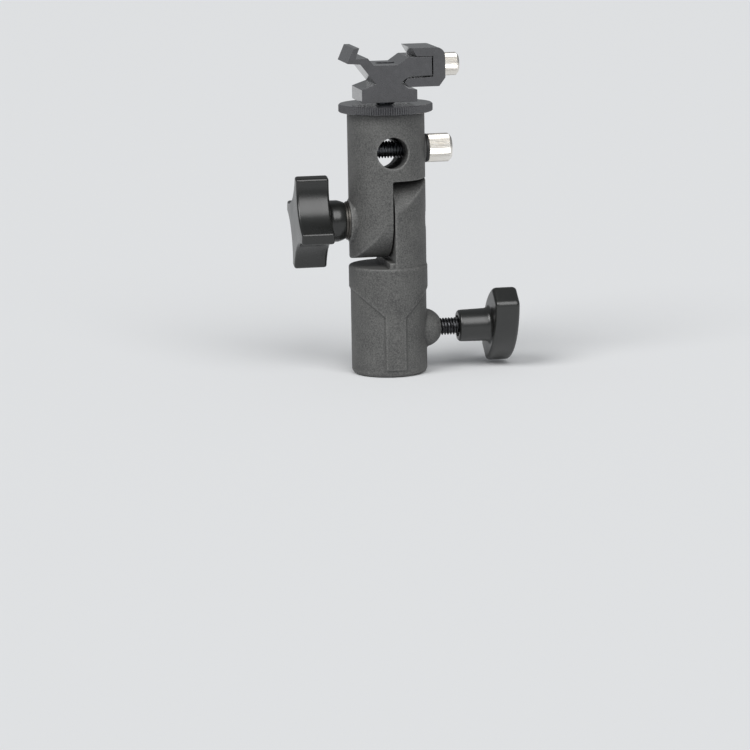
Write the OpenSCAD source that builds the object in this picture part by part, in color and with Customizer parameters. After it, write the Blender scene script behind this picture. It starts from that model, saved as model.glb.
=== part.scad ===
// Umbrella swivel bracket: a stand socket, a tilting arm with a cross bore for an umbrella shaft,
// and a turning accessory shoe with a clamping jaw.
// Origin: centre of the socket mouth. +Z runs up the stand, X is the tilt axis with +X towards
// the socket knob, and -Y is the front.

/* [Stand socket] */
// Diameter of the socket bore, for a 5/8 inch spigot
socket_bore_d = 16.1; // [16:0.05:16.3]
// Depth of the socket bore
socket_depth = 31; // [26:1:32]
// Outer diameter of the socket barrel
barrel_d = 25.6; // [25:0.1:26]
// Diameter of the band and the raised ribs
band_d = 26.6; // [26.2:0.1:27]
// Height of the flat shoulder
shoulder_z = 36.9; // [36:0.1:37]
// Height of the clamp screw over the mouth
clamp_z = 14.5; // [12:0.5:18]

/* [Tilt joint] */
// Height of the tilt axis
pivot_z = 52.2; // [52:0.1:53]
// Radius of the round end of the lower cheek
lower_cheek_r = 13.5; // [13:0.1:13.5]
// Radius of the round end of the upper cheek
upper_cheek_r = 12.7; // [12:0.1:12.8]
// Width of the slot between the cheeks
cheek_gap = 0.6; // [0.4:0.1:0.8]
// Diameter of the flat head of the pressed-in bolt
bolt_head_d = 8.4; // [8:0.1:9]

/* [Arm] */
// Diameter of the arm
arm_d = 26; // [25.6:0.1:26.2]
// Height of the arm's step over the lower cheek
arm_step_z = 66.1; // [66:0.1:67]
// Height of the arm's flat top
arm_top_z = 88.6; // [88.3:0.1:90]
// Diameter of the umbrella bore
umbrella_bore_d = 10.4; // [10:0.1:10.5]
// Height of the umbrella bore's middle
umbrella_z = 74.6; // [74.6:0.1:75.4]
// Upward slope of the umbrella bore towards the front, in degrees
umbrella_slope = 5; // [0:0.5:5]
// Height of the umbrella screw, which crosses the bore a little over its middle
thumb_z = 75.7; // [75.4:0.1:76]

/* [Lock disc and stud] */
// Diameter of the lock disc
disc_d = 31.6; // [30:0.2:34]
// Thickness of the lock disc
disc_t = 2.7; // [2.4:0.1:3]
// Outer diameter of the 1/4 inch stud
stud_d = 6.3; // [6:0.1:6.3]

/* [Shoe] */
// Length of the shoe and its jaw from front to back
shoe_length = 18.7; // [16:0.1:20]
// Height of the shoe's recessed floor over the lock disc
floor_h = 13.4; // [13.2:0.1:13.6]
// Height of the ledges that carry an accessory foot over the lock disc
ledge_h = 15.8; // [15.6:0.1:15.9]
// Height of the clamp screw of the jaw over the lock disc
jaw_screw_h = 12.4; // [12:0.1:12.8]

/* [Knobs and screws] */
// Reach of the tilt knob's four lobes
star_reach = 16.1; // [15:0.1:17]
// Thickness of the tilt knob's star
star_depth = 11.1; // [9:0.1:12]
// Length of the socket knob's oval head
oval_length = 28.6; // [26:0.1:30]
// Width of the socket knob's oval head
oval_width = 17; // [16:0.1:18]
// Angle of the oval head's long axis over the horizontal
oval_turn = 52; // [0:1:180]
// Diameter of the umbrella screw's head
thumb_head_d = 9.6; // [9:0.1:11]
// Diameter of the jaw screw's head
jaw_head_d = 7.7; // [7:0.1:9]

/* [Hidden] */
$fn = 96;

casting_grey = "#5b5b59";
anodised_black = "#343437";
plastic_black = "#1d1d1c";
nickel = "#c9c6bf";
zinc_steel = "#8f9296";
brass = "#b08d4a";
nylon_black = "#141414";

// Fits: an M6 or M4 shank is drawn 0.05 under its tapped hole
m6_r = 2.95;
m6_hole_r = 3;
m4_r = 1.95;
m4_hole_r = 2;
stud_hole_r = stud_d / 2 + 0.05;

band_z = 29.5;
barrel_fillet = 1.6;
band_r = band_d / 2;
// Rib on the front and back of the barrel, with its V under the band
rib_w = 6.8;
rib_foot_z = 2.5;
rib_fork_z = 20.5;
// Round boss of the clamp screw
boss_r = 6.6;
boss_nose_r = 3.2;
boss_root_l = 1.4;
boss_face_x = 17.4;
root_step_x = -1.6;
root_step_z = 38.8;

arm_r = arm_d / 2;
pad_r = 7;
pad_x = -13.4;
bolt_head_x = 10.4;
bolt_head_t = 1.8;
washer_t = 0.75;
// The M6 bolt ends inside the tilt knob
bolt_end_x = -24.5;

// Cored pocket under the stud, closed by the bush
pocket_r = 6.5;
pocket_floor_z = 68.5;
bush_z = 83;
pin_z = 86;
pin_r = 1;
pin_inner_y = 4.6;
thumb_boss_r = 4.8;
thumb_boss_x = arm_r + 0.05;
thumb_washer_t = 0.85;
thumb_head_l = 8.1;
thumb_tip_x = -5.9;

disc_top_z = arm_top_z + disc_t;
stud_top_z = disc_top_z + floor_h - 0.8;

knob_x = pad_x - 2 * washer_t;
knob_neck_l = 5.7;
knob_neck_r = 7;
star_x = knob_x - knob_neck_l - star_depth;
star_valley_r = 15.4;
star_valley_at = 17.3;
insert_r = 4.5;
insert_l = 9;

stem_x = 23.7;
stem_l = 10.9;
stem_r = 5.45;
oval_depth = 8.5;
oval_arc_r = 24.2;
clamp_tip_x = socket_bore_d / 2 + 0.05;
clamp_pad_t = 2.6;
clamp_end_x = stem_x + 11.5;

jaw_x = 18.7;
jaw_screw_head_l = 6.1;
jaw_screw_tip_x = 5.6;

// A cylinder that lies along +X from x0, on the height z
module x_cylinder(x0, length, r, z = 0) {
    translate([x0, 0, z]) rotate([0, 90, 0]) cylinder(r = r, h = length);
}

// A flat ring that lies along +X from x0, on the height z
module x_ring(x0, length, r, hole_r, z) {
    difference() {
        x_cylinder(x0, length, r, z);
        x_cylinder(x0 - 1, length + 2, hole_r, z);
    }
}

// Chamfered disc along +Z
module chamfered_disc(r, h, c) {
    rotate_extrude() polygon([[0, 0], [r - c, 0], [r, c], [r, h - c], [r - c, h], [0, h]]);
}

// Chamfered disc along +X from x0, on the height z
module x_chamfered(x0, length, r, c, z) {
    translate([x0, 0, z]) rotate([0, 90, 0]) chamfered_disc(r, length, c);
}

// Half profile of the barrel, with its rounded lower edge
module barrel_profile() {
    square([barrel_d / 2 - barrel_fillet, shoulder_z]);
    translate([0, barrel_fillet]) square([barrel_d / 2, shoulder_z - barrel_fillet]);
    translate([barrel_d / 2 - barrel_fillet, barrel_fillet]) circle(barrel_fillet);
    translate([0, band_z]) polygon([
        [0, 0], [barrel_d / 2, 0], [band_r, 0.5], [band_r, shoulder_z - band_z - 0.3],
        [band_r - 0.3, shoulder_z - band_z], [0, shoulder_z - band_z]
    ]);
}

// Raised rib that forks into a V under the band, on the front and on the back
module forked_rib() {
    intersection() {
        cylinder(r = band_r, h = shoulder_z - 0.5);
        translate([0, band_r, 0]) rotate([90, 0, 0]) linear_extrude(height = band_d) polygon([
            [-band_r, band_z + 1], [-band_r, band_z], [-rib_w / 2, rib_fork_z], [-rib_w / 2, rib_foot_z],
            [rib_w / 2, rib_foot_z], [rib_w / 2, rib_fork_z], [band_r, band_z], [band_r, band_z + 1]
        ]);
    }
}

// Cheek on the +X side that carries the tilt bolt
module lower_cheek() {
    intersection() {
        cylinder(r = arm_r, h = pivot_z + lower_cheek_r + 1);
        translate([cheek_gap / 2, -arm_r, shoulder_z - 1])
            cube([arm_r, arm_d, 2 * lower_cheek_r + 5]);
        union() {
            x_cylinder(0, arm_r, lower_cheek_r, pivot_z);
            translate([0, -arm_r, shoulder_z - 1]) cube([arm_r, arm_d, pivot_z - shoulder_z + 1]);
        }
    }
    intersection() {
        cylinder(r = arm_r - 0.5, h = root_step_z);
        translate([root_step_x, -arm_r, shoulder_z - 1])
            cube([2 - root_step_x, arm_d, root_step_z - shoulder_z + 1]);
    }
}

// Domed boss for the clamp screw: a straight root under a rounded nose
module clamp_boss() {
    root_x = barrel_d / 2 - 2.5;
    translate([root_x, 0, clamp_z]) rotate([0, 90, 0]) rotate_extrude() polygon([
        [0, 0], [boss_r, 0], for (a = [0 : 10 : 60]) boss_r * [cos(a), sin(a)] + [0, boss_root_l],
        [boss_nose_r, boss_face_x - root_x], [0, boss_face_x - root_x]
    ]);
}

module socket_body() {
    color(casting_grey) difference() {
        union() {
            rotate_extrude() barrel_profile();
            forked_rib();
            lower_cheek();
            clamp_boss();
        }
        translate([0, 0, -1]) cylinder(d = socket_bore_d, h = socket_depth + 1);
        x_cylinder(0, boss_face_x + 1, m6_hole_r, clamp_z);
        x_cylinder(-1, arm_d, m6_hole_r, pivot_z);
        x_cylinder(bolt_head_x, arm_r, bolt_head_d / 2 + 0.1, pivot_z);
    }
}

// Pressed-in M6 bolt: flat round head in the lower cheek, shank through both cheeks
module tilt_bolt() {
    color(zinc_steel) {
        x_chamfered(bolt_head_x, bolt_head_t, bolt_head_d / 2, 0.3, pivot_z);
        x_chamfered(bolt_end_x, bolt_head_x - bolt_end_x + 0.5, m6_r, 0.4, pivot_z);
    }
}

module friction_washer() {
    color(nylon_black) x_ring(-cheek_gap / 2, cheek_gap, 10, m6_r + 0.15, pivot_z);
}

module upper_arm() {
    color(casting_grey) difference() {
        union() {
            intersection() {
                chamfered_disc(arm_r, arm_top_z, 0.5);
                union() {
                    translate([-arm_r, -arm_r, pivot_z])
                        cube([arm_r - cheek_gap / 2, arm_d, arm_top_z - pivot_z]);
                    x_cylinder(-arm_r, arm_r - cheek_gap / 2, upper_cheek_r, pivot_z);
                    translate([-arm_r, -arm_r, arm_step_z]) cube([arm_d, arm_d, arm_top_z - arm_step_z]);
                }
            }
            x_cylinder(pad_x, 4, pad_r, pivot_z);
            x_cylinder(arm_r / 2, thumb_boss_x - arm_r / 2, thumb_boss_r, thumb_z);
        }
        x_cylinder(-arm_d, 2 * arm_d, m6_hole_r, pivot_z);
        translate([0, 0, umbrella_z]) rotate([90 - umbrella_slope, 0, 0])
            cylinder(d = umbrella_bore_d, h = 2 * arm_d, center = true);
        translate([0, 0, pocket_floor_z]) cylinder(r = pocket_r, h = arm_top_z);
        x_cylinder(0, arm_d, m6_hole_r, thumb_z);
        translate([0, pin_inner_y, pin_z]) rotate([-90, 0, 0]) cylinder(r = pin_r, h = arm_d);
    }
}

// Tapped bush that closes the cored pocket and holds the stud
module stud_bush() {
    color(zinc_steel) difference() {
        translate([0, 0, bush_z]) cylinder(r = pocket_r, h = arm_top_z - bush_z);
        translate([0, 0, bush_z - 1]) cylinder(r = stud_d / 2, h = arm_top_z);
        translate([0, pin_inner_y, pin_z]) rotate([-90, 0, 0]) cylinder(r = pin_r, h = arm_d);
    }
}

// Pin from the back of the arm that keeps the bush and the stud from turning
module stud_pin() {
    color(zinc_steel) translate([0, pin_inner_y, pin_z]) rotate([-90, 0, 0])
        cylinder(r = pin_r, h = arm_r - 0.4 - pin_inner_y);
}

module shoe_stud() {
    color(zinc_steel) translate([0, 0, bush_z]) chamfered_disc(stud_d / 2, stud_top_z - bush_z, 0.5);
}

module tilt_washer() {
    color(nickel) x_ring(pad_x - washer_t, washer_t, 6.5, m6_r + 0.2, pivot_z);
}

module tilt_spring_washer() {
    color(zinc_steel) difference() {
        x_ring(knob_x, washer_t, 6.1, m6_r + 0.2, pivot_z);
        translate([knob_x - 1, -7, pivot_z]) cube([washer_t + 2, 7, 0.8]);
    }
}

// Outline of the star knob: four lobes between four hollow arcs
module star_outline() {
    difference() {
        square(2 * star_reach, center = true);
        for (sx = [-1, 1], sy = [-1, 1])
            translate([sx, sy] * star_valley_at) circle(star_valley_r);
    }
}

module tilt_knob() {
    color(plastic_black) difference() {
        union() {
            x_chamfered(star_x + 1, star_depth + knob_neck_l - 1, knob_neck_r, 0.9, pivot_z);
            translate([star_x, 0, pivot_z]) rotate([14, 0, 0]) rotate([90, 0, 90])
                linear_extrude(height = star_depth) star_outline();
        }
        x_cylinder(knob_x - insert_l, insert_l + 1, insert_r, pivot_z);
        x_cylinder(bolt_end_x - 1, insert_l + 1, m6_hole_r + 0.2, pivot_z);
    }
}

module tilt_knob_insert() {
    color(brass) x_ring(knob_x - insert_l, insert_l, insert_r, m6_hole_r, pivot_z);
}

module socket_screw_pad() {
    color(brass) {
        x_chamfered(clamp_tip_x, clamp_pad_t - 1, 2.6, 0.3, clamp_z);
        x_cylinder(clamp_tip_x + 1, clamp_pad_t, 1.2, clamp_z);
    }
}

module socket_screw() {
    color(zinc_steel) difference() {
        x_chamfered(clamp_tip_x + clamp_pad_t - 0.9, clamp_end_x - clamp_tip_x - clamp_pad_t + 0.9,
            m6_r, 0.4, clamp_z);
        x_cylinder(clamp_tip_x, clamp_pad_t + 1.1, 1.25, clamp_z);
    }
}

// Outline of the socket knob's head: a lens of two arcs with cut ends
module oval_outline() {
    intersection() {
        lens_disc(1);
        lens_disc(-1);
        square([oval_length, oval_width], center = true);
    }
}

// One of the two discs whose overlap is the lens
module lens_disc(side) {
    translate([0, side * (oval_arc_r - oval_width / 2)]) circle(oval_arc_r);
}

module socket_knob() {
    color(plastic_black) difference() {
        union() {
            x_chamfered(stem_x, stem_l + 2, stem_r, 0.5, clamp_z);
            translate([stem_x + stem_l, 0, clamp_z]) rotate([-oval_turn, 0, 0]) rotate([90, 0, 90])
                linear_extrude(height = oval_depth) oval_outline();
        }
        x_cylinder(stem_x - 1, clamp_end_x - stem_x + 1, m6_r, clamp_z);
        x_cylinder(stem_x - 1, 2.2, m6_r + 0.9, clamp_z);
    }
}

module umbrella_screw_washer() {
    color(nylon_black) x_ring(thumb_boss_x, thumb_washer_t, thumb_head_d / 2, m6_r + 0.15, thumb_z);
}

module umbrella_screw() {
    head_x = thumb_boss_x + thumb_washer_t;
    color(nickel) {
        x_chamfered(head_x, thumb_head_l, thumb_head_d / 2, 0.5, thumb_z);
        x_chamfered(thumb_tip_x, head_x - thumb_tip_x + 1, m6_r, 0.5, thumb_z);
    }
}

module lock_disc() {
    color(anodised_black) difference() {
        translate([0, 0, arm_top_z]) chamfered_disc(disc_d / 2, disc_t, 0.35);
        translate([0, 0, arm_top_z - 1]) cylinder(r = stud_hole_r, h = disc_t + 2);
    }
}

// Side view of the shoe: foot, waist, left hook, recessed floor and right block
module shoe_outline() {
    polygon([
        [-9.6, 1.05], [9.1, 1.05], [9.1, 5], [5.9, 5.5], [3.9, 7.2], [4.6, 8.2],
        [6.8, 9.5], [14.2, 9.5], [14.2, ledge_h], [6.3, ledge_h], [2.8, floor_h], [-5.5, floor_h],
        [-7.4, ledge_h], [-11.4, ledge_h], [-11.4, 16.2], [-10.2, 19.3], [-12.1, 19.3],
        [-14.3, 14.2], [-10, 13.9], [-4.7, 7.1], [-9.6, 5.4]
    ]);
}

module shoe_body() {
    color(anodised_black) difference() {
        translate([0, shoe_length / 2, disc_top_z]) rotate([90, 0, 0])
            linear_extrude(height = shoe_length) shoe_outline();
        translate([0, 0, disc_top_z]) cylinder(r = stud_hole_r, h = 20);
        x_cylinder(jaw_screw_tip_x - 0.5, jaw_x, m4_hole_r, disc_top_z + jaw_screw_h);
    }
}

// Side view of the jaw: a C that hooks over and under the right block
module jaw_outline() {
    corner_r = 3;
    polygon([
        [7.4, 18.8], [9.1, ledge_h + 0.15], [14.6, ledge_h + 0.15], [14.6, 9.1], [5.9, 8.7],
        [4.9, 7.5], [6.2, 5.9], [16.6, 5.9], [jaw_x, 8.7], [jaw_x, 18.8 - corner_r],
        [jaw_x - corner_r, 18.8 - corner_r], [jaw_x - corner_r, 18.8]
    ]);
    intersection() {
        translate([jaw_x - corner_r, 18.8 - corner_r]) circle(corner_r);
        translate([jaw_x - corner_r, 18.8 - corner_r]) square(corner_r);
    }
}

module shoe_jaw() {
    color(anodised_black) difference() {
        translate([0, shoe_length / 2, disc_top_z]) rotate([90, 0, 0])
            linear_extrude(height = shoe_length) jaw_outline();
        x_cylinder(jaw_x - 8, 10, m4_hole_r, disc_top_z + jaw_screw_h);
    }
}

module jaw_screw() {
    screw_z = disc_top_z + jaw_screw_h;
    color(nickel) {
        x_chamfered(jaw_x, jaw_screw_head_l, jaw_head_d / 2, 0.5, screw_z);
        x_chamfered(jaw_screw_tip_x, jaw_x - jaw_screw_tip_x + 1, m4_r, 0.4, screw_z);
    }
}

socket_body();
tilt_bolt();
friction_washer();
upper_arm();
stud_bush();
stud_pin();
shoe_stud();
tilt_washer();
tilt_spring_washer();
tilt_knob();
tilt_knob_insert();
socket_screw_pad();
socket_screw();
socket_knob();
umbrella_screw_washer();
umbrella_screw();
lock_disc();
shoe_body();
shoe_jaw();
jaw_screw();
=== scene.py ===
import math

import bpy
from mathutils import Matrix, Vector


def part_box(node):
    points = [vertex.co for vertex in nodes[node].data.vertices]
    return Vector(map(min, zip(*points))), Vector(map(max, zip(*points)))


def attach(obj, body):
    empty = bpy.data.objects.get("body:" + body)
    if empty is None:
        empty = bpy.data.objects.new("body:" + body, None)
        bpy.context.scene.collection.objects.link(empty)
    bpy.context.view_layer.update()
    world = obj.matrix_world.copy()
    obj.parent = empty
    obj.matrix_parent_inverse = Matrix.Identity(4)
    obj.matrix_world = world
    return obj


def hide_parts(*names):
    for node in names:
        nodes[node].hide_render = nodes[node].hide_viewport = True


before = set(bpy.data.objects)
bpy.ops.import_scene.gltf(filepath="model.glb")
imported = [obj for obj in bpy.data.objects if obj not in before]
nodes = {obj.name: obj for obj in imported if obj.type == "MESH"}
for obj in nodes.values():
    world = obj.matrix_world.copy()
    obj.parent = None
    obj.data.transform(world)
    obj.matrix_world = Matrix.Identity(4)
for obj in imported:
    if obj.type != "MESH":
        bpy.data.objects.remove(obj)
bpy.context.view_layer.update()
scene = bpy.context.scene

# The place the bracket is looked at from: a long lens a metre away, a little over the
# socket and to the left of its front, tipped by one degree.
azimuth, elevation, tip = math.radians(-10.5), math.radians(10.8), math.radians(1.0)
distance = 1.05
right_of_socket, under_socket = 0.00503, 0.00136
away = Vector((
    math.sin(azimuth) * math.cos(elevation),
    -math.cos(azimuth) * math.cos(elevation),
    math.sin(elevation),
))
level = Vector((math.cos(azimuth), math.sin(azimuth), 0))
upright = away.cross(level)
right = level * math.cos(tip) - upright * math.sin(tip)
up = upright * math.cos(tip) + level * math.sin(tip)
lens = bpy.data.cameras.new("long_lens")
lens.lens, lens.sensor_width = 148.2, 36
lens.clip_start, lens.clip_end = 0.05, 50
camera = bpy.data.objects.new("camera", lens)
scene.collection.objects.link(camera)
camera.matrix_world = Matrix((right, up, away)).transposed().to_4x4()
camera.location = away * distance - right * right_of_socket - up * under_socket
scene.camera = camera


# The studio: a wide pale floor that fills the view, an even room, one big soft light from the
# upper left and another from the front, above the camera. None of it belongs to the bracket.
def linear(hex_colour):
    """An sRGB hex colour as linear red, green, blue and alpha."""
    channels = [int(hex_colour[i:i + 2], 16) / 255 for i in (1, 3, 5)]
    return [c / 12.92 if c <= 0.04045 else ((c + 0.055) / 1.055) ** 2.4 for c in channels] + [1]


def new_material(name):
    """A material with its node tree and its one surface shader."""
    made = bpy.data.materials.new(name)
    made.use_nodes = True
    return made, made.node_tree, made.node_tree.nodes["Principled BSDF"]


def add_node(tree, kind, settings, links=()):
    """Adds a node, sets its inputs or properties by name, and links outputs into its inputs."""
    node = tree.nodes.new("ShaderNode" + kind)
    for name, value in settings.items():
        if isinstance(name, int) or name in node.inputs:
            node.inputs[name].default_value = value
        else:
            setattr(node, name, value)
    for source, name in links:
        tree.links.new(source, node.inputs[name])
    return node


def only(piece):
    """Leaves this piece alone selected and active."""
    bpy.ops.object.select_all(action="DESELECT")
    piece.select_set(True)
    bpy.context.view_layer.objects.active = piece


floor_colour = "#e9eaeb"
room_colour, room_strength = "#dfe2e5", 0.32
bpy.ops.object.select_all(action="DESELECT")
bpy.ops.mesh.primitive_plane_add(size=30, location=(0, 0, -0.0001))
floor = bpy.context.object
floor.name = "studio_floor"
paint, tree, shader = new_material("matt_floor_paint")
shader.inputs["Base Color"].default_value = linear(floor_colour)
shader.inputs["Roughness"].default_value = 0.9
shader.inputs["Specular IOR Level"].default_value = 0.1
floor.data.materials.append(paint)

scene.view_settings.view_transform = "Standard"
room = bpy.data.worlds.new("bright_room")
scene.world = room
room.use_nodes = True
room.node_tree.nodes["Background"].inputs["Color"].default_value = linear(room_colour)
room.node_tree.nodes["Background"].inputs["Strength"].default_value = room_strength

for name, place, spread, power in (
    ("soft_side", (-0.85, -0.65, 1.0), 34, 1.7),
    ("soft_front", (0.22, -1.0, 0.92), 44, 1.45),
):
    glow = bpy.data.lights.new(name, "SUN")
    glow.angle, glow.energy = math.radians(spread), power
    lamp = bpy.data.objects.new(name, glow)
    scene.collection.objects.link(lamp)
    lamp.location = place
    lamp.rotation_euler = (-Vector(place)).to_track_quat("-Z", "Y").to_euler()


# Socket casting: the lower half of the bracket, die-cast in zinc and powder coated. The mould
# leaves every edge a little round, and the cured powder leaves a fine sandy grain all over.
def cast_copy(node, name):
    """Copy of a node's solid whose edges are softened all over, as on a casting."""
    grid_mm = 0.32
    piece = bpy.data.objects.new(name, nodes[node].data.copy())
    scene.collection.objects.link(piece)
    only(piece)
    bpy.ops.object.mode_set(mode="EDIT")
    bpy.ops.mesh.select_all(action="SELECT")
    bpy.ops.mesh.remove_doubles(threshold=1e-6)
    bpy.ops.object.mode_set(mode="OBJECT")
    cast = piece.modifiers.new("cast", "REMESH")
    cast.mode, cast.voxel_size = "VOXEL", grid_mm / 1000
    bpy.ops.object.modifier_apply(modifier=cast.name)
    soft = piece.modifiers.new("soft_edges", "SMOOTH")
    soft.factor, soft.iterations = 0.5, 2
    bpy.ops.object.modifier_apply(modifier=soft.name)
    bpy.ops.object.shade_smooth()
    return piece


def coat(piece, material):
    """The piece shows this material and no other."""
    piece.data.materials.clear()
    piece.data.materials.append(material)


# Powder-coated zinc: dark grey, half matt and sandy, with a painted highlight along its edges
# and painted shade in its corners.
coat_dark, coat_light = "#3a3a3a", "#676765"
powder_coat, tree, shader = new_material("powder_coated_zinc")
grain_mm, blotch_mm = 0.45, 9
place = add_node(tree, "TexCoord", {}).outputs["Object"]
grain = add_node(tree, "TexNoise", {"Scale": 1000 / grain_mm, "Detail": 3.0, "Roughness": 0.6},
                 [(place, "Vector")]).outputs["Fac"]
blotch = add_node(tree, "TexNoise", {"Scale": 1000 / blotch_mm, "Detail": 2.0},
                  [(place, "Vector")]).outputs["Fac"]
speckle = add_node(tree, "Math", {"operation": "MULTIPLY_ADD", 1: 0.3}, [(blotch, 0), (grain, 2)])
shade = add_node(tree, "MapRange", {"From Min": 0.45, "From Max": 0.85}, [(speckle.outputs[0], "Value")])
colour = add_node(tree, "Mix", {"data_type": "RGBA", 6: linear(coat_dark), 7: linear(coat_light)},
                  [(shade.outputs["Result"], "Factor")])
# Painted highlight on convex edges and painted shade in concave corners, driven by pointiness.
hollows = add_node(tree, "NewGeometry", {}).outputs["Pointiness"]
painted_edge_highlight_and_shade = add_node(tree, "MapRange", {"From Min": 0.46, "From Max": 0.54, "To Min": 0.45, "To Max": 1.45},
                [(hollows, "Value")]).outputs["Result"]
edged = add_node(tree, "Mix", {"data_type": "RGBA", "blend_type": "MULTIPLY", 0: 1.0},
                 [(colour.outputs[2], 6), (painted_edge_highlight_and_shade, 7)])
tree.links.new(edged.outputs[2], shader.inputs["Base Color"])
sheen = add_node(tree, "MapRange", {"From Min": 0.3, "From Max": 0.7, "To Min": 0.5, "To Max": 0.68},
                 [(grain, "Value")])
tree.links.new(sheen.outputs["Result"], shader.inputs["Roughness"])
bumps = add_node(tree, "Bump", {"Strength": 0.55, "Distance": 0.0001}, [(grain, "Height")])
tree.links.new(bumps.outputs["Normal"], shader.inputs["Normal"])

socket = cast_copy("socket_body", "socket_casting")
coat(socket, powder_coat)
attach(socket, "lower")
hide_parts("socket_body")


# Arm casting: the upper half, of the same cast zinc and coat, with the umbrella bore across it.
arm = cast_copy("upper_arm", "arm_casting")
coat(arm, powder_coat)
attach(arm, "arm")
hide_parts("upper_arm")


# Tilt bolt: an M6 steel bolt with a flat round head, pressed into the right cheek so that it
# can't turn, zinc plated. Its rolled thread runs through both cheeks into the knob.
def drawn(name, points, closed=False):
    """A line drawn from point to point in millimetres, filled as a face where it is closed."""
    bpy.ops.object.select_all(action="DESELECT")
    bpy.ops.mesh.primitive_plane_add(size=1, location=(0, 0, 0))
    piece = bpy.context.object
    piece.name = name
    bpy.ops.object.mode_set(mode="EDIT")
    bpy.ops.mesh.select_all(action="SELECT")
    bpy.ops.mesh.merge(type="CENTER")
    bpy.ops.transform.translate(value=points[0])
    for here, there in zip(points, points[1:]):
        step = Vector(there) - Vector(here)
        bpy.ops.mesh.extrude_vertices_move(TRANSFORM_OT_translate={"value": step})
    if closed:
        bpy.ops.mesh.select_all(action="SELECT")
        bpy.ops.mesh.edge_face_add()
    bpy.ops.object.mode_set(mode="OBJECT")
    return piece


def tidy(piece):
    """Merges doubled points of a piece drawn in millimetres and points its faces outwards."""
    only(piece)
    bpy.ops.object.mode_set(mode="EDIT")
    bpy.ops.mesh.select_all(action="SELECT")
    bpy.ops.mesh.remove_doubles(threshold=0.002)
    bpy.ops.mesh.normals_make_consistent(inside=False)
    bpy.ops.object.mode_set(mode="OBJECT")


def turned(name, outline, steps=72):
    """A solid turned about Z from an outline of (radius, height) in millimetres."""
    piece = drawn(name, [(r, 0, z) for r, z in outline])
    bpy.ops.object.mode_set(mode="EDIT")
    bpy.ops.mesh.select_all(action="SELECT")
    bpy.ops.mesh.spin(steps=steps, angle=math.tau, center=(0, 0, 0), axis=(0, 0, 1))
    bpy.ops.object.mode_set(mode="OBJECT")
    tidy(piece)
    return piece


def combine(piece, other, operation):
    """Joins, cuts or trims the piece with another one, which is used up."""
    only(piece)
    step = piece.modifiers.new("combine", "BOOLEAN")
    step.operation, step.solver, step.object = operation, "EXACT", other
    step.material_mode = "TRANSFER"
    bpy.ops.object.modifier_apply(modifier=step.name)
    bpy.data.objects.remove(other)
    bpy.ops.object.mode_set(mode="EDIT")
    bpy.ops.mesh.select_all(action="SELECT")
    bpy.ops.mesh.remove_doubles(threshold=0.001)
    bpy.ops.object.mode_set(mode="OBJECT")


def threaded(name, radius, pitch, length, chamfer):
    """A rod along Z with a right-hand 60 degree thread and both ends chamfered, in millimetres."""
    root = radius - 0.61 * pitch
    inset, spare = 0.013, 0.2
    rib = [(root, 0), (root, 0.1), (radius, 0.43), (radius, 0.57), (root, 0.9), (root, 1)]
    piece = drawn(name, [(r, 0, (part - 1) * pitch) for r, part in rib])
    only(piece)
    helix = piece.modifiers.new("helix", "SCREW")
    helix.angle, helix.screw_offset = math.tau, pitch
    helix.iterations = math.ceil(length / pitch) + 2
    helix.steps = helix.render_steps = 30
    bpy.ops.object.modifier_apply(modifier=helix.name)
    tidy(piece)
    for height, below in ((0, True), (length, False)):
        bpy.ops.object.mode_set(mode="EDIT")
        bpy.ops.mesh.select_all(action="SELECT")
        bpy.ops.mesh.bisect(
            plane_co=(0, 0, height), plane_no=(0, 0, 1), use_fill=True,
            clear_inner=below, clear_outer=not below,
        )
        bpy.ops.object.mode_set(mode="OBJECT")
    tidy(piece)
    blank = turned(name + "_blank", [
        (0, inset), (radius - chamfer, inset), (radius + spare, inset + chamfer + spare),
        (radius + spare, length - chamfer - inset - spare), (radius - chamfer, length - inset),
        (0, length - inset),
    ])
    combine(piece, blank, "INTERSECT")
    return piece


def lay(piece, start, side=1, turn=0.0):
    """Puts a piece drawn along Z in millimetres at its start point, along +X, or along Z if side is 0."""
    only(piece)
    piece.matrix_world = (
        Matrix.Translation(start)
        @ Matrix.Rotation(math.radians(90 * side), 4, "Y")
        @ Matrix.Rotation(math.radians(turn), 4, "Z")
        @ Matrix.Scale(0.001, 4)
    )
    bpy.ops.object.transform_apply(location=True, rotation=True, scale=True)


def smooth(piece, angle=32):
    """Shades the piece smooth except over its sharp edges, and keeps its flat faces flat."""
    only(piece)
    bpy.ops.object.shade_smooth_by_angle(angle=math.radians(angle))
    even = piece.modifiers.new("even", "WEIGHTED_NORMAL")
    even.keep_sharp = True
    bpy.ops.object.modifier_apply(modifier=even.name)


# Zinc-plated steel: a cool grey metal, softly clouded and half dull.
zinc_plate, tree, shader = new_material("zinc_plated_steel")
zinc_colour, zinc_dark = "#a3a6aa", "#7d8085"
clouds_per_mm = 0.9
place = add_node(tree, "TexCoord", {}).outputs["Object"]
cloud = add_node(tree, "TexNoise", {"Scale": 1000 * clouds_per_mm, "Detail": 4.0},
                 [(place, "Vector")]).outputs["Fac"]
colour = add_node(tree, "Mix", {"data_type": "RGBA", 6: linear(zinc_dark), 7: linear(zinc_colour)},
                  [(cloud, "Factor")])
tree.links.new(colour.outputs[2], shader.inputs["Base Color"])
worn = add_node(tree, "MapRange", {"To Min": 0.28, "To Max": 0.5}, [(cloud, "Value")])
tree.links.new(worn.outputs["Result"], shader.inputs["Roughness"])
shader.inputs["Metallic"].default_value = 1.0

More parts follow.
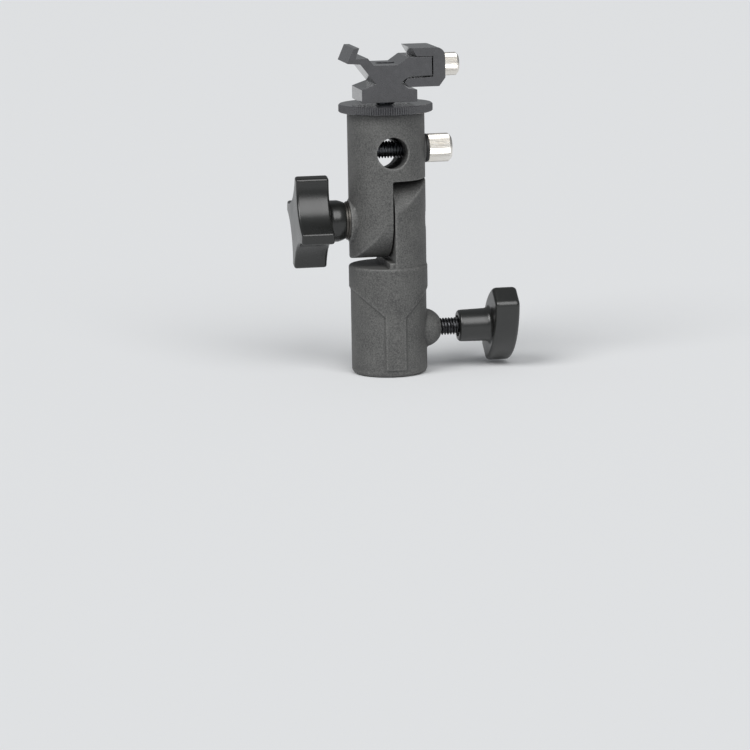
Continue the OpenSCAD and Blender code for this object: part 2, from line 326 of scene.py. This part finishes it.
m6_radius, m6_pitch = 2.95, 1.0
low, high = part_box("tilt_bolt")
pivot = Vector((0, 0, (low.z + high.z) / 2))
bolt_length = (high.x - low.x) * 1000
bolt_head, bolt_head_r = 1.8, (high.z - low.z) * 500
bolt = threaded("tilt_bolt_threaded", m6_radius, m6_pitch, bolt_length - 1, 0.5)
under = bolt_length - bolt_head
head = turned("bolt_head", [
    (0, under), (bolt_head_r - 0.2, under), (bolt_head_r, under + 0.2),
    (bolt_head_r, bolt_length - 0.45), (bolt_head_r - 0.15, bolt_length - 0.15),
    (bolt_head_r - 0.5, bolt_length), (0, bolt_length),
])
combine(bolt, head, "UNION")
lay(bolt, (low.x, 0, pivot.z))
smooth(bolt)
coat(bolt, zinc_plate)
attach(bolt, "lower")
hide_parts("tilt_bolt")


# Friction washer: a thin disc punched from black nylon sheet, held in the slot between the
# cheeks. Only its rim can be glimpsed.
nylon, tree, shader = new_material("black_nylon")
nylon_colour, nylon_worn = "#171717", "#232323"
grains_per_mm = 1.5
place = add_node(tree, "TexCoord", {}).outputs["Object"]
haze = add_node(tree, "TexNoise", {"Scale": 1000 * grains_per_mm, "Detail": 2.0},
                [(place, "Vector")]).outputs["Fac"]
colour = add_node(tree, "Mix", {"data_type": "RGBA", 6: linear(nylon_colour), 7: linear(nylon_worn)},
                  [(haze, "Factor")])
tree.links.new(colour.outputs[2], shader.inputs["Base Color"])
bumps = add_node(tree, "Bump", {"Strength": 0.2, "Distance": 0.00003}, [(haze, "Height")])
tree.links.new(bumps.outputs["Normal"], shader.inputs["Normal"])
shader.inputs["Roughness"].default_value = 0.5
shader.inputs["IOR"].default_value = 1.53
coat(nodes["friction_washer"], nylon)


# Bush, pin and stud: zinc-plated steel set in the top of the arm. The bush and the pin stay in
# the casting. The 1/4 inch stud has 20 threads to the inch and shows in the floor of the shoe.
coat(nodes["stud_bush"], zinc_plate)
coat(nodes["stud_pin"], zinc_plate)
inch = 25.4
stud_pitch = inch / 20
low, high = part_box("shoe_stud")
stud = threaded("shoe_stud_threaded", (high.x - low.x) * 500, stud_pitch, (high.z - low.z) * 1000, 0.6)
lay(stud, (0, 0, low.z), side=0)
smooth(stud)
coat(stud, zinc_plate)
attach(stud, "arm")
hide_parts("shoe_stud")


# Washers under the tilt knob: a plain punched one against the casting and a split spring washer
# under the knob, both with a plating that has gone dull. The nickel of the screws is set up here.
def ring_outline(inner, outer, thick, edge):
    """Section of a flat ring with broken edges, in millimetres, closed on itself."""
    return [
        (inner, 0), (outer - edge, 0), (outer, edge), (outer, thick - edge), (outer - edge, thick),
        (inner, thick), (inner, 0),
    ]


# Bright nickel plate: a nearly white, slightly warm metal with a soft shine.
nickel, tree, shader = new_material("bright_nickel_plate")
nickel_colour, nickel_warm = "#f4f2ee", "#e4ded4"
clouds_per_mm = 0.35
place = add_node(tree, "TexCoord", {}).outputs["Object"]
cloud = add_node(tree, "TexNoise", {"Scale": 1000 * clouds_per_mm, "Detail": 3.0},
                 [(place, "Vector")]).outputs["Fac"]
colour = add_node(tree, "Mix", {"data_type": "RGBA", 6: linear(nickel_colour), 7: linear(nickel_warm)},
                  [(cloud, "Factor")])
tree.links.new(colour.outputs[2], shader.inputs["Base Color"])
worn = add_node(tree, "MapRange", {"To Min": 0.26, "To Max": 0.38}, [(cloud, "Value")])
tree.links.new(worn.outputs["Result"], shader.inputs["Roughness"])
shader.inputs["Metallic"].default_value = 1.0

# Dull plate: the same metal gone brownish grey and cloudy, with no clear reflections.
dull_plate, tree, shader = new_material("dull_plate")
dull_colour, dull_cloud = "#64615d", "#484643"
clouds_per_mm = 0.8
place = add_node(tree, "TexCoord", {}).outputs["Object"]
cloud = add_node(tree, "TexNoise", {"Scale": 1000 * clouds_per_mm, "Detail": 3.0},
                 [(place, "Vector")]).outputs["Fac"]
colour = add_node(tree, "Mix", {"data_type": "RGBA", 6: linear(dull_colour), 7: linear(dull_cloud)},
                  [(cloud, "Factor")])
tree.links.new(colour.outputs[2], shader.inputs["Base Color"])
shader.inputs["Metallic"].default_value = 1.0
shader.inputs["Roughness"].default_value = 0.42

low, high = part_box("tilt_washer")
washer_t = (high.x - low.x) * 1000
washer_hole_r = 3.15
plain = turned("plain_washer", ring_outline(washer_hole_r, (high.z - low.z) * 500, washer_t, 0.12))
lay(plain, (low.x, 0, pivot.z))
smooth(plain)
coat(plain, dull_plate)
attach(plain, "tilt_washers")
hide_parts("tilt_washer")

low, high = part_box("tilt_spring_washer")
split, split_turn = 10, 40
spring = drawn("split_washer", [
    (r, 0, z) for r, z in ring_outline(washer_hole_r, (high.z - low.z) * 500, washer_t, 0.1)
])
bpy.ops.object.mode_set(mode="EDIT")
bpy.ops.mesh.select_all(action="SELECT")
bpy.ops.mesh.spin(steps=60, angle=math.radians(360 - split), center=(0, 0, 0), axis=(0, 0, 1))
bpy.ops.mesh.select_all(action="SELECT")
bpy.ops.mesh.remove_doubles(threshold=0.001)
bpy.ops.mesh.fill_holes(sides=0)
bpy.ops.object.mode_set(mode="OBJECT")
tidy(spring)
lay(spring, (low.x, 0, pivot.z), turn=split_turn)
smooth(spring)
coat(spring, dull_plate)
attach(spring, "tilt_washers")
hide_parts("tilt_spring_washer")


# Tilt knob: a four-lobed knob moulded in glossy black nylon over a brass insert. The lobes are
# narrow at their tips with hollow flanks between them, and a short waisted neck leads to the washers.
glossy, tree, shader = new_material("glossy_black_nylon")
gloss_colour, gloss_haze = "#0e0f0e", "#161715"
flow_per_mm, fine_per_mm = 0.12, 2.5
place = add_node(tree, "TexCoord", {}).outputs["Object"]
flow = add_node(tree, "TexNoise", {"Scale": 1000 * flow_per_mm, "Detail": 3.0},
                [(place, "Vector")]).outputs["Fac"]
fine = add_node(tree, "TexNoise", {"Scale": 1000 * fine_per_mm, "Detail": 2.0},
                [(place, "Vector")]).outputs["Fac"]
colour = add_node(tree, "Mix", {"data_type": "RGBA", 6: linear(gloss_colour), 7: linear(gloss_haze)},
                  [(flow, "Factor")])
tree.links.new(colour.outputs[2], shader.inputs["Base Color"])
worn = add_node(tree, "MapRange", {"To Min": 0.2, "To Max": 0.36}, [(flow, "Value")])
tree.links.new(worn.outputs["Result"], shader.inputs["Roughness"])
bumps = add_node(tree, "Bump", {"Strength": 0.12, "Distance": 0.00002}, [(fine, "Height")])
tree.links.new(bumps.outputs["Normal"], shader.inputs["Normal"])
shader.inputs["IOR"].default_value = 1.65


def rounded(piece, width, segments=4, angle=30):
    """Rounds every sharp edge, inside corners too, to a width in the piece's own unit."""
    only(piece)
    edges = piece.modifiers.new("rounding", "BEVEL")
    edges.width, edges.segments = width, segments
    edges.limit_method, edges.angle_limit = "ANGLE", math.radians(angle)
    bpy.ops.object.modifier_apply(modifier=edges.name)


def raised(piece, height):
    """Extrudes a flat face along +Z by a height in millimetres."""
    only(piece)
    bpy.ops.object.mode_set(mode="EDIT")
    bpy.ops.mesh.select_all(action="SELECT")
    bpy.ops.mesh.extrude_region_move(TRANSFORM_OT_translate={"value": (0, 0, height)})
    bpy.ops.object.mode_set(mode="OBJECT")
    tidy(piece)


low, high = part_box("tilt_knob")
star_reach, star_depth, hollow_r, hollow_at = 16.1, 11.1, 15.4, 17.3
star_turn, arc_steps = 14, 16
neck_end = (high.x - low.x) * 1000
tip_angle = math.degrees(math.asin((hollow_at - star_reach) / hollow_r))
star = []
for quarter in range(4):
    spin = math.radians(-90 * quarter)
    for step in range(arc_steps + 1):
        a = math.radians(180 + tip_angle + (90 - 2 * tip_angle) * step / arc_steps)
        x, y = hollow_at + hollow_r * math.cos(a), hollow_at + hollow_r * math.sin(a)
        star.append((
            x * math.cos(spin) - y * math.sin(spin), x * math.sin(spin) + y * math.cos(spin), 0,
        ))
knob = drawn("tilt_knob_moulding", star, closed=True)
raised(knob, star_depth)
rounded(knob, 0.9)
neck = turned("neck", [
    (0, 6), (8.3, 6), (8.3, star_depth), (7.5, star_depth + 0.25), (7.1, star_depth + 0.8),
    (7.0, star_depth + 1.4), (7.0, star_depth + 3.2), (6.85, star_depth + 4), (6.6, neck_end - 1),
    (6.35, neck_end - 0.3), (6.1, neck_end), (0, neck_end),
])
combine(knob, neck, "UNION")
bore = turned("bore", [
    (0, 7), (3.3, 7), (3.3, neck_end - 9), (4.5, neck_end - 9), (4.5, neck_end + 1), (0, neck_end + 1),
])
combine(knob, bore, "DIFFERENCE")
lay(knob, (low.x, 0, pivot.z), turn=90 + star_turn)
smooth(knob, 40)
coat(knob, glossy)
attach(knob, "tilt_knob_body")
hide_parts("tilt_knob")


# Brass pieces: the threaded insert that is moulded into the tilt knob, and the soft pad on the
# tip of the socket screw, both turned from free-cutting brass.
brass, tree, shader = new_material("turned_brass")
brass_colour, brass_dull = "#b8954f", "#94733a"
place = add_node(tree, "TexCoord", {}).outputs["Object"]
lines = add_node(tree, "TexWave", {"wave_type": "BANDS", "bands_direction": "X", "Scale": 1200.0},
                 [(place, "Vector")]).outputs["Fac"]
colour = add_node(tree, "Mix", {"data_type": "RGBA", 6: linear(brass_colour), 7: linear(brass_dull)},
                  [(lines, "Factor")])
tree.links.new(colour.outputs[2], shader.inputs["Base Color"])
shader.inputs["Metallic"].default_value = 1.0
shader.inputs["Roughness"].default_value = 0.32
coat(nodes["tilt_knob_insert"], brass)
coat(nodes["socket_screw_pad"], brass)


# Socket screw: an M6 stud of blackened steel, moulded into its knob. Six turns of its thread
# show between the boss and the stem.
blackened, tree, shader = new_material("blackened_steel")
oxide, rubbed = "#38383a", "#77787a"
clouds_per_mm = 1.3
place = add_node(tree, "TexCoord", {}).outputs["Object"]
cloud = add_node(tree, "TexNoise", {"Scale": 1000 * clouds_per_mm, "Detail": 4.0},
                 [(place, "Vector")]).outputs["Fac"]
shade = add_node(tree, "MapRange", {"From Min": 0.4, "From Max": 0.75}, [(cloud, "Value")])
colour = add_node(tree, "Mix", {"data_type": "RGBA", 6: linear(oxide), 7: linear(rubbed)},
                  [(shade.outputs["Result"], "Factor")])
tree.links.new(colour.outputs[2], shader.inputs["Base Color"])
shader.inputs["Metallic"].default_value = 1.0
shader.inputs["Roughness"].default_value = 0.34

low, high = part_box("socket_screw")
clamp = Vector((0, 0, (low.z + high.z) / 2))
clamp_screw = threaded("socket_screw_threaded", m6_radius, m6_pitch, (high.x - low.x) * 1000, 0.5)
cavity = turned("cavity", [(0, -1), (1.25, -1), (1.25, 2.0), (0, 2.4)])
combine(clamp_screw, cavity, "DIFFERENCE")
lay(clamp_screw, (low.x, 0, clamp.z))
smooth(clamp_screw)
coat(clamp_screw, blackened)
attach(clamp_screw, "socket_knob_body")
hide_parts("socket_screw")


# Socket knob: a stem with an oval head moulded in satin black nylon round the screw, with a
# recess round the thread at the stem's end.
satin, tree, shader = new_material("satin_black_nylon")
satin_colour, satin_haze = "#111211", "#191a18"
flow_per_mm, fine_per_mm = 0.15, 2.8
place = add_node(tree, "TexCoord", {}).outputs["Object"]
flow = add_node(tree, "TexNoise", {"Scale": 1000 * flow_per_mm, "Detail": 3.0},
                [(place, "Vector")]).outputs["Fac"]
fine = add_node(tree, "TexNoise", {"Scale": 1000 * fine_per_mm, "Detail": 2.0},
                [(place, "Vector")]).outputs["Fac"]
colour = add_node(tree, "Mix", {"data_type": "RGBA", 6: linear(satin_colour), 7: linear(satin_haze)},
                  [(flow, "Factor")])
tree.links.new(colour.outputs[2], shader.inputs["Base Color"])
worn = add_node(tree, "MapRange", {"To Min": 0.26, "To Max": 0.38}, [(flow, "Value")])
tree.links.new(worn.outputs["Result"], shader.inputs["Roughness"])
bumps = add_node(tree, "Bump", {"Strength": 0.2, "Distance": 0.00003}, [(fine, "Height")])
tree.links.new(bumps.outputs["Normal"], shader.inputs["Normal"])
shader.inputs["IOR"].default_value = 1.7

low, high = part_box("socket_knob")
oval_r, oval_half, oval_width, oval_depth, stem_length = 24.2, 14.3, 17, 8.5, 10.9
oval_turn = -52
fan = math.degrees(math.asin(oval_half / oval_r))
oval = []
for side in (1, -1):
    for step in range(arc_steps + 1):
        a = math.radians(90 + fan - 2 * fan * step / arc_steps)
        oval.append((
            side * oval_r * math.cos(a), side * (oval_r * math.sin(a) - oval_r + oval_width / 2), 0,
        ))
handle = drawn("socket_knob_moulding", oval, closed=True)
raised(handle, oval_depth)
rounded(handle, 1.4)
stem = turned("stem", [
    (0, 4), (7.2, 4), (7.2, 0.02), (6.4, -0.2), (5.85, -0.7), (5.6, -1.5), (5.4, 1.1 - stem_length),
    (5.25, 0.5 - stem_length), (4.9, 0.12 - stem_length), (4.4, 0.01 - stem_length),
    (0, 0.01 - stem_length),
])
combine(handle, stem, "UNION")
hole = turned("hole", [
    (0, 0.7), (m6_radius, 0.7), (m6_radius, -stem_length + 1.3), (3.5, -stem_length + 1.1),
    (3.9, -stem_length - 1), (0, -stem_length - 1),
])
combine(handle, hole, "DIFFERENCE")
lay(handle, (low.x + stem_length / 1000, 0, clamp.z), turn=90 + oval_turn)
smooth(handle, 40)
coat(handle, satin)
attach(handle, "socket_knob_body")
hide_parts("socket_knob")


# Umbrella screw and its washer: a nickel-plated brass thumb screw with a straight-knurled head,
# over a thin black nylon washer. Its M6 thread crosses the umbrella bore.
def knurled(name, radius, length, teeth, depth, chamfer, end_chamfer):
    """A straight-knurled round head along Z, chamfered at its foot and more at its end."""
    bpy.ops.object.select_all(action="DESELECT")
    bpy.ops.mesh.primitive_cylinder_add(
        vertices=2 * teeth, radius=radius, depth=length, location=(0, 0, length / 2),
    )
    piece = bpy.context.object
    piece.name = name
    bpy.ops.object.transform_apply(location=True, rotation=True, scale=True)
    bpy.ops.object.mode_set(mode="EDIT")
    bpy.ops.mesh.select_all(action="DESELECT")
    bpy.ops.object.mode_set(mode="OBJECT")
    for v in piece.data.vertices:
        step = math.atan2(v.co.x, v.co.y) / math.tau * 2 * teeth
        v.select = round(step) % 2 == 1
    bpy.ops.object.mode_set(mode="EDIT")
    bpy.ops.mesh.select_mode(type="VERT")
    inward = 1 - depth / radius
    bpy.ops.transform.resize(value=(inward, inward, 1), center_override=(0, 0, 0))
    bpy.ops.object.mode_set(mode="OBJECT")
    inset, spare = 0.003, 0.3
    blank = turned(name + "_blank", [
        (0, inset), (radius - chamfer, inset), (radius + spare, inset + chamfer + spare),
        (radius + spare, length - end_chamfer - inset - spare), (radius - end_chamfer, length - inset),
        (0, length - inset),
    ])
    combine(piece, blank, "INTERSECT")
    return piece


def on_shank(head, radius, pitch, length, chamfer):
    """Nickel-plated head along Z, joined to the threaded shank of the given length below it."""
    shank = threaded("shank", radius, pitch, length + 1, chamfer)
    only(shank)
    shank.location = (0, 0, -length)
    bpy.ops.object.transform_apply(location=True, rotation=True, scale=True)
    coat(head, nickel)
    coat(shank, zinc_plate)
    combine(head, shank, "UNION")


low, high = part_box("umbrella_screw_washer")
cross = Vector((0, 0, (low.z + high.z) / 2))
thin = turned("umbrella_screw_ring",
              ring_outline(3.1, (high.z - low.z) * 500, (high.x - low.x) * 1000, 0.1))
lay(thin, (low.x, 0, cross.z))
smooth(thin)
coat(thin, nylon)
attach(thin, "thumb_washer")
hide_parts("umbrella_screw_washer")

head_start = high.x
low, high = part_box("umbrella_screw")
thumb = knurled("umbrella_screw_knurled", (high.z - low.z) * 500, (high.x - head_start) * 1000,
                teeth=56, depth=0.17, chamfer=0.3, end_chamfer=1.0)
on_shank(thumb, m6_radius, m6_pitch, (head_start - low.x) * 1000, 0.6)
lay(thumb, (head_start, 0, cross.z))
smooth(thumb, 25)
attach(thumb, "thumb_screw")
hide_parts("umbrella_screw")


# Lock disc: a knurled aluminium disc, anodised black, that screws up the stud against the shoe.
# Black anodised aluminium: a dyed, satin skin with faint lines along Y, the way the metal was drawn.
anodised, tree, shader = new_material("black_anodised_aluminium")
dye_dark, dye_light = "#2c2c2f", "#3b3b3e"
line_mm, clouds_per_mm = 0.35, 0.7
place = add_node(tree, "TexCoord", {}).outputs["Object"]
along = add_node(tree, "Mapping", {"Scale": (1.0, 0.03, 1.0)}, [(place, "Vector")]).outputs["Vector"]
lines = add_node(tree, "TexNoise", {"Scale": 1000 / line_mm, "Detail": 3.0},
                 [(along, "Vector")]).outputs["Fac"]
cloud = add_node(tree, "TexNoise", {"Scale": 1000 * clouds_per_mm, "Detail": 4.0},
                 [(place, "Vector")]).outputs["Fac"]
both = add_node(tree, "Math", {"operation": "MULTIPLY_ADD", 1: 0.5}, [(lines, 0), (cloud, 2)])
shade = add_node(tree, "MapRange", {"From Min": 0.5, "From Max": 1.0}, [(both.outputs[0], "Value")])
colour = add_node(tree, "Mix", {"data_type": "RGBA", 6: linear(dye_dark), 7: linear(dye_light)},
                  [(shade.outputs["Result"], "Factor")])
tree.links.new(colour.outputs[2], shader.inputs["Base Color"])
worn = add_node(tree, "MapRange", {"To Min": 0.14, "To Max": 0.26}, [(both.outputs[0], "Value")])
tree.links.new(worn.outputs["Result"], shader.inputs["Roughness"])
bumps = add_node(tree, "Bump", {"Strength": 0.12, "Distance": 0.00003}, [(both.outputs[0], "Height")])
tree.links.new(bumps.outputs["Normal"], shader.inputs["Normal"])
shader.inputs["IOR"].default_value = 1.75
shader.inputs["Coat Weight"].default_value = 0.5
shader.inputs["Coat Roughness"].default_value = 0.12

low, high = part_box("lock_disc")
disc = knurled("lock_disc_knurled", (high.x - low.x) * 500, (high.z - low.z) * 1000,
               teeth=120, depth=0.36, chamfer=0.3, end_chamfer=0.35)
eye = turned("eye", [(0, -1), (3.2, -1), (3.2, 4), (0, 4)])
combine(disc, eye, "DIFFERENCE")
lay(disc, (0, 0, low.z), side=0)
smooth(disc, 20)
coat(disc, anodised)
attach(disc, "disc")
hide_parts("lock_disc")


# Shoe and jaw: two short lengths of extruded aluminium, sawn, deburred and anodised black. The
# jaw hooks over and under the block of the shoe and slides on it.
def sawn_copy(node, name, edge):
    """Copy of a node's solid with its flat faces made whole and its sharp edges broken."""
    piece = bpy.data.objects.new(name, nodes[node].data.copy())
    scene.collection.objects.link(piece)
    only(piece)
    bpy.ops.object.mode_set(mode="EDIT")
    bpy.ops.mesh.select_all(action="SELECT")
    bpy.ops.mesh.remove_doubles(threshold=1e-6)
    bpy.ops.mesh.dissolve_limited(angle_limit=math.radians(0.5))
    bpy.ops.object.mode_set(mode="OBJECT")
    rounded(piece, edge / 1000, segments=2)
    smooth(piece)
    return piece


broken_edge = 0.22
shoe = sawn_copy("shoe_body", "shoe_extrusion", broken_edge)
coat(shoe, anodised)
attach(shoe, "shoe")
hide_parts("shoe_body")

jaw = sawn_copy("shoe_jaw", "jaw_extrusion", broken_edge)
coat(jaw, anodised)
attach(jaw, "jaw")
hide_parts("shoe_jaw")


# Jaw screw: a smaller thumb screw of the same kind, M4, whose knurled head bears on the jaw.
m4_radius, m4_pitch = 1.95, 0.7
low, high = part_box("jaw_screw")
jaw_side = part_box("shoe_jaw")[1].x
jaw_screw = knurled("jaw_screw_knurled", (high.z - low.z) * 500, (high.x - jaw_side) * 1000,
                    teeth=46, depth=0.16, chamfer=0.25, end_chamfer=0.8)
on_shank(jaw_screw, m4_radius, m4_pitch, (jaw_side - low.x) * 1000, 0.4)
lay(jaw_screw, (jaw_side, 0, (low.z + high.z) / 2))
smooth(jaw_screw, 25)
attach(jaw_screw, "jaw_screw_body")
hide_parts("jaw_screw")
